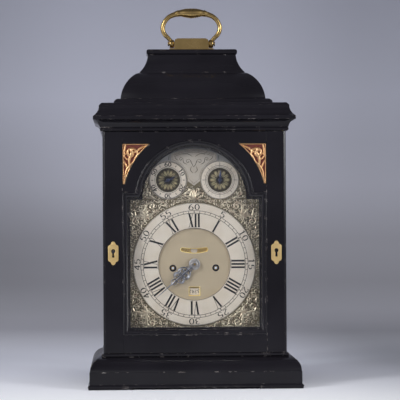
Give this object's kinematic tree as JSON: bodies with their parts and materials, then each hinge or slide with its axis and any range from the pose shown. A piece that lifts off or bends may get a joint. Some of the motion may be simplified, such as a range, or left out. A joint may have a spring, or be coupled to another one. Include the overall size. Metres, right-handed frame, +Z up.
{
  "type": "bracket clock",
  "caption": "Ebonised bracket clock with an inverted bell top and bail handle, a break-arch dial behind a glazed door, a glazed back, and a fusee movement with a verge pendulum.",
  "frame": {"origin": "middle of the case's footprint, on the underside of the foot pads", "axes": "+Z up, the dial faces -Y, +X to the viewer's right"},
  "size_m": [0.2812, 0.1882, 0.5076],
  "materials": {
    "ebonised": "glossy ebonised varnish",
    "oak": "plain brown oak inner boards",
    "gilt_brass": "lacquered cast and turned brass",
    "plate_brass": "polished plate brass",
    "silvered": "silvered brass, printed with black numerals",
    "blued_steel": "blued steel",
    "steel": "plain steel",
    "glass": "thin clear glass",
    "silk": "red-brown pleated silk",
    "bell_metal": "bell metal"
  },
  "bodies": {
    "case": {"base_mouldings": "ebonised", "foot_pads": "ebonised", "bottom_board": "oak", "cornice_mouldings": "ebonised", "case_side_right": "ebonised", "case_side_left": "ebonised", "side_windows": "glass", "carcass_rails": "oak", "top_board": "oak", "seat_board": "oak", "bell_top": "ebonised", "handle_block": "gilt_brass", "dial_mask": "ebonised", "case_brasses": "gilt_brass", "dial_plate": "gilt_brass", "chapter_ring": "silvered", "corner_spandrels": "gilt_brass", "arch_mounts": "gilt_brass", "arch_plaque": "silvered", "subsidiary_dials": "silvered", "front_plate": "plate_brass", "back_plate": "plate_brass", "plate_pillars": "plate_brass", "clock_bell": "bell_metal"},
    "front_door": {"door_stiles": "ebonised", "door_bottom_rail": "ebonised", "door_head": "ebonised", "door_sight_moulding": "ebonised", "door_glass": "glass", "corner_frets": "gilt_brass", "fret_silks": "silk", "escutcheons": "gilt_brass", "front_lock": "gilt_brass", "front_door_pivots": "gilt_brass"},
    "front_bolt": {"front_lock_bolt": "steel"},
    "rear_door": {"rear_door_frame": "ebonised", "rear_door_glass": "glass", "rear_door_pivots": "gilt_brass", "rear_lock": "gilt_brass"},
    "rear_bolt": {"rear_lock_bolt": "steel"},
    "handle": {"handle_bail": "gilt_brass"},
    "minute_arbor": {"centre_wheel": "plate_brass", "minute_hand": "blued_steel"},
    "hour": {"hour_wheel": "plate_brass", "hour_hand": "blued_steel"},
    "minute_wheel": {"minute_wheel": "plate_brass"},
    "date": {"date_ring": "silvered"},
    "regulation": {"regulation_hand": "blued_steel"},
    "strike_silent": {"strike_silent_hand": "blued_steel"},
    "going_fusee": {"going_fusee": "plate_brass"},
    "going_barrel": {"going_barrel": "plate_brass"},
    "third_wheel": {"third_wheel": "plate_brass"},
    "contrate_wheel": {"contrate_wheel": "plate_brass"},
    "crown_wheel": {"crown_wheel": "plate_brass"},
    "verge": {"verge_pendulum": "steel", "mock_bob": "silvered"},
    "strike_fusee": {"strike_fusee": "plate_brass"},
    "strike_barrel": {"strike_barrel": "plate_brass"},
    "pin_wheel": {"pin_wheel": "plate_brass"},
    "hammer": {"strike_hammer": "steel"}
  },
  "joints": [
    {"name": "front_door_hinge", "type": "hinge", "parent": "case", "child": "front_door", "pos_m": [0.1163, -0.06185, 0.191], "axis": [0, 0, 1], "range_deg": [0, 92]},
    {"name": "front_bolt_slide", "type": "slide", "parent": "front_door", "child": "front_bolt", "axis": [0, 0, 1], "range_m": [0, 0.005]},
    {"name": "rear_door_hinge", "type": "hinge", "parent": "case", "child": "rear_door", "pos_m": [0.1034, 0.09015, 0.188], "axis": [0, 0, -1], "range_deg": [0, 92]},
    {"name": "rear_bolt_slide", "type": "slide", "parent": "rear_door", "child": "rear_bolt", "axis": [-1, 0, 0], "range_m": [0, 0.004]},
    {"name": "handle_hinge", "type": "hinge", "parent": "case", "child": "handle", "pos_m": [0, 0.01015, 0.4594], "axis": [1, 0, 0], "range_deg": [-86, 86]},
    {"name": "minute_spin", "type": "hinge", "parent": "case", "child": "minute_arbor", "pos_m": [0, -0.03, 0.1615], "axis": [0, 1, 0], "continuous": true},
    {"name": "hour_spin", "type": "hinge", "parent": "case", "child": "hour", "pos_m": [0, -0.042, 0.1615], "axis": [0, 1, 0], "continuous": true},
    {"name": "minute_wheel_spin", "type": "hinge", "parent": "case", "child": "minute_wheel", "pos_m": [0, -0.038, 0.1435], "axis": [0, 1, 0], "continuous": true},
    {"name": "date_spin", "type": "hinge", "parent": "case", "child": "date", "pos_m": [0, -0.0477, 0.1615], "axis": [0, 1, 0], "continuous": true},
    {"name": "third_spin", "type": "hinge", "parent": "case", "child": "third_wheel", "pos_m": [-0.014, 0, 0.1807], "axis": [0, 1, 0], "continuous": true},
    {"name": "contrate_spin", "type": "hinge", "parent": "case", "child": "contrate_wheel", "pos_m": [0, 0, 0.18954], "axis": [0, 1, 0], "continuous": true},
    {"name": "crown_spin", "type": "hinge", "parent": "case", "child": "crown_wheel", "pos_m": [0, 0, 0.203], "axis": [0, 0, 1], "continuous": true},
    {"name": "going_fusee_spin", "type": "hinge", "parent": "case", "child": "going_fusee", "pos_m": [0.0284, 0, 0.1565], "axis": [0, 1, 0], "continuous": true},
    {"name": "going_barrel_spin", "type": "hinge", "parent": "case", "child": "going_barrel", "pos_m": [0.0364, 0, 0.1155], "axis": [0, 1, 0], "continuous": true},
    {"name": "verge_swing", "type": "hinge", "parent": "case", "child": "verge", "pos_m": [0, 0, 0.216], "axis": [0, 1, 0], "range_deg": [-12, 12]},
    {"name": "strike_fusee_spin", "type": "hinge", "parent": "case", "child": "strike_fusee", "pos_m": [-0.0284, 0, 0.1565], "axis": [0, 1, 0], "continuous": true},
    {"name": "strike_barrel_spin", "type": "hinge", "parent": "case", "child": "strike_barrel", "pos_m": [-0.0364, 0, 0.1155], "axis": [0, 1, 0], "continuous": true},
    {"name": "pin_wheel_spin", "type": "hinge", "parent": "case", "child": "pin_wheel", "pos_m": [-0.04615, 0.02, 0.17922], "axis": [0, 1, 0], "continuous": true},
    {"name": "hammer_lift", "type": "hinge", "parent": "case", "child": "hammer", "pos_m": [-0.05, 0, 0.208], "axis": [0, -1, 0], "range_deg": [0, 12]},
    {"name": "regulation_turn", "type": "hinge", "parent": "case", "child": "regulation", "pos_m": [-0.0343, -0.052, 0.2728], "axis": [0, 1, 0], "range_deg": [-156, 174]},
    {"name": "strike_silent_turn", "type": "hinge", "parent": "case", "child": "strike_silent", "pos_m": [0.0343, -0.052, 0.2728], "axis": [0, 1, 0], "range_deg": [-49, 41]}
  ],
  "couplings": [
    {"joint": "hour_spin", "follows": "minute_spin", "ratio": 0.083333},
    {"joint": "minute_wheel_spin", "follows": "minute_spin", "ratio": -0.33333},
    {"joint": "date_spin", "follows": "minute_spin", "ratio": 0.0013441},
    {"joint": "third_spin", "follows": "minute_spin", "ratio": -5},
    {"joint": "contrate_spin", "follows": "minute_spin", "ratio": 20},
    {"joint": "crown_spin", "follows": "minute_spin", "ratio": 50},
    {"joint": "going_fusee_spin", "follows": "minute_spin", "ratio": -0.2},
    {"joint": "going_barrel_spin", "follows": "minute_spin", "ratio": -0.11892},
    {"joint": "pin_wheel_spin", "follows": "strike_fusee_spin", "ratio": -5},
    {"joint": "strike_barrel_spin", "follows": "strike_fusee_spin", "ratio": 0.59459}
  ]
}
